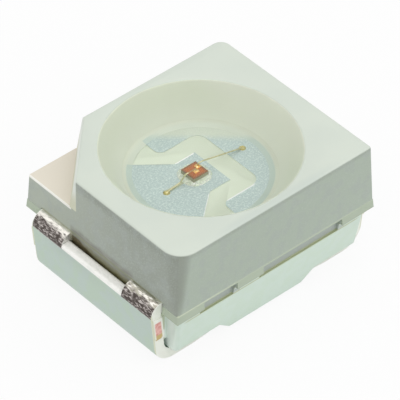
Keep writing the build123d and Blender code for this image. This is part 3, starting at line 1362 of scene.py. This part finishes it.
@dataclass
class ResinFill:
    """Resin in the cup, sunk a hair into its walls so that no air shows between them."""

    rim: float = 1.245
    floor: float = 0.83
    floor_height: float = 0.965
    dip: float = 0.006
    skin: float = 0.012
    segments: int = 128
    finish: CastResin = field(default_factory=CastResin)

    def build(self) -> None:
        """Makes the fill."""
        profile = [
            (0.0, self.floor_height - self.skin),
            (self.floor + self.skin, self.floor_height - self.skin),
            (PACKAGE.cup_heel + self.skin, PACKAGE.ring - self.skin),
            (self.rim + self.skin, PACKAGE.top - self.dip),
            (self.rim - 0.03, PACKAGE.top - self.dip * 0.7),
            (self.rim - 0.12, PACKAGE.top - self.dip * 0.3),
            (0.0, PACKAGE.top - 0.001),
        ]
        mesh = lathe("resin_fill", profile, self.segments)
        smooth(mesh, 30)
        placed(new_object("resin_fill", mesh, self.finish.material()), "clear_resin", "encapsulant")


@dataclass
class Die:
    """Chip with its contacts."""

    edge_mm: float = 0.006
    contact_edge_mm: float = 0.001
    finish: Crystal = field(default_factory=Crystal)
    contact_finish: ContactMetal = field(default_factory=ContactMetal)

    def build(self) -> None:
        """Makes the chip and its metal."""
        chip = softened_copy("chip", "led_chip", self.edge_mm, self.finish.material())
        placed(chip, "chip_crystal", "led_chip")
        gold = self.contact_finish.material()
        contacts = softened_copy("contacts", "chip_contacts", self.contact_edge_mm, gold)
        placed(contacts, "contact_metal", "chip_contacts")


@dataclass
class DieAttach:
    """Silver glue that wells up round the chip."""

    edge_mm: float = 0.004
    finish: Glue = field(default_factory=Glue)

    def build(self) -> None:
        """Makes the glue."""
        glue = softened_copy("glue_fillet", "die_attach", self.edge_mm, self.finish.material())
        placed(glue, "silver_glue", "die_attach")


@dataclass
class BondWires:
    """Gold wires with their bonds."""

    edge_mm: float = 0.001
    finish: GoldWire = field(default_factory=GoldWire)

    def build(self) -> None:
        """Makes both wires."""
        material = self.finish.material()
        for side in (Side.ANODE, Side.CATHODE):
            node = f"bond_wire_{side.word}"
            wire = softened_copy(f"{side.word}_wire", node, self.edge_mm, material)
            placed(wire, "gold_wire", node)


# Studio


def direction(azimuth: float, elevation: float) -> Vector:
    """Unit vector from the part towards a bearing.

    Args:
        azimuth: degrees round from the front towards the right.
        elevation: degrees above the floor.

    Returns:
        The vector.
    """
    a, e = math.radians(azimuth), math.radians(elevation)
    return Vector((math.sin(a) * math.cos(e), -math.cos(a) * math.cos(e), math.sin(e)))


@dataclass(frozen=True)
class Softbox:
    """Square area lamp given by its glow rather than its power."""

    name: str
    glow: float
    size_mm: float
    azimuth: float
    elevation: float
    distance_mm: float

    def build(self) -> None:
        """Adds the lamp, aimed at the part."""
        lamp = bpy.data.lights.new(self.name, "AREA")
        lamp.shape = "SQUARE"
        lamp.size = self.size_mm * MM
        lamp.energy = self.glow * math.pi * lamp.size**2
        made = bpy.data.objects.new(self.name, lamp)
        away = direction(self.azimuth, self.elevation)
        made.location = away * self.distance_mm * MM
        made.rotation_euler = away.to_track_quat("Z", "Y").to_euler()
        bpy.context.scene.collection.objects.link(made)


@dataclass
class Studio:
    """Pale floor, soft lamp, white surroundings and the camera."""

    floor_tone: float = 0.86
    floor_glow: float = 0.90
    world_glow: float = 0.72
    azimuth: float = -42.169
    elevation: float = 42.256
    roll: float = 0.797
    distance_mm: float = 46.104
    aim_mm: Point = (0.0, 0.0, 0.86)
    lens: float = 339.99
    shift: tuple[float, float] = (-0.0003, 0.0107)
    lamp: Softbox = Softbox(
        name="top_softbox", glow=0.6, size_mm=90.0, azimuth=10.0, elevation=72.0, distance_mm=45.0
    )

    def build(self) -> None:
        """Makes the studio."""
        self.floor()
        self.world()
        self.lamp.build()
        self.camera()
        bpy.context.scene.view_settings.view_transform = "Standard"

    def floor(self) -> None:
        """Floor that the camera sees white, with a soft shadow."""
        shape = bmesh.new()
        bmesh.ops.create_grid(shape, x_segments=1, y_segments=1, size=400 * MM)
        sheet = ShaderSheet("floor")
        matt = sheet.node("ShaderNodeBsdfDiffuse", None, {"Color": (self.floor_tone,) * 3})
        white = sheet.node("ShaderNodeEmission", None, {"Color": WHITE, "Strength": 1.0})
        look = sheet.mix_shader(sheet.seen() * self.floor_glow, matt, white)
        floor = new_object("floor", from_bmesh("floor", shape), sheet.finish(look))

    def world(self) -> None:
        """White behind the part, plain dim light elsewhere."""
        sheet = ShaderSheet("surroundings", world=True)
        dim = sheet.node("ShaderNodeBackground", None, {"Color": WHITE, "Strength": self.world_glow})
        white = sheet.node("ShaderNodeBackground", None, {"Color": WHITE, "Strength": 1.0})
        bpy.context.scene.world = sheet.finish(sheet.mix_shader(sheet.seen(), dim, white))

    def camera(self) -> None:
        """Camera at the viewing angle of the photograph."""
        back = direction(self.azimuth, self.elevation)
        a, r = math.radians(self.azimuth), math.radians(self.roll)
        level = Vector((math.cos(a), math.sin(a), 0))
        up = back.cross(level)
        right = level * math.cos(r) + up * math.sin(r)
        up = up * math.cos(r) - level * math.sin(r)
        data = bpy.data.cameras.new("camera")
        data.lens = self.lens
        data.sensor_width = 36.0
        data.shift_x, data.shift_y = self.shift
        data.clip_start, data.clip_end = 0.001, 10.0
        made = bpy.data.objects.new("camera", data)
        turn = Matrix((right, up, back)).transposed().to_4x4()
        place = (Vector(self.aim_mm) + back * self.distance_mm) * MM
        made.matrix_world = Matrix.Translation(place) @ turn
        bpy.context.scene.collection.objects.link(made)
        bpy.context.scene.camera = made


def main() -> None:
    """Builds every piece in order."""
    logging.basicConfig(level=logging.INFO, format="%(name)s %(message)s")
    for piece in (Housing(), LeadFrame(), Die(), DieAttach(), BondWires(), ResinFill(), Studio()):
        piece.build()
        LOG.info("built %s", type(piece).__name__)


if __name__ == "__main__":
    main()
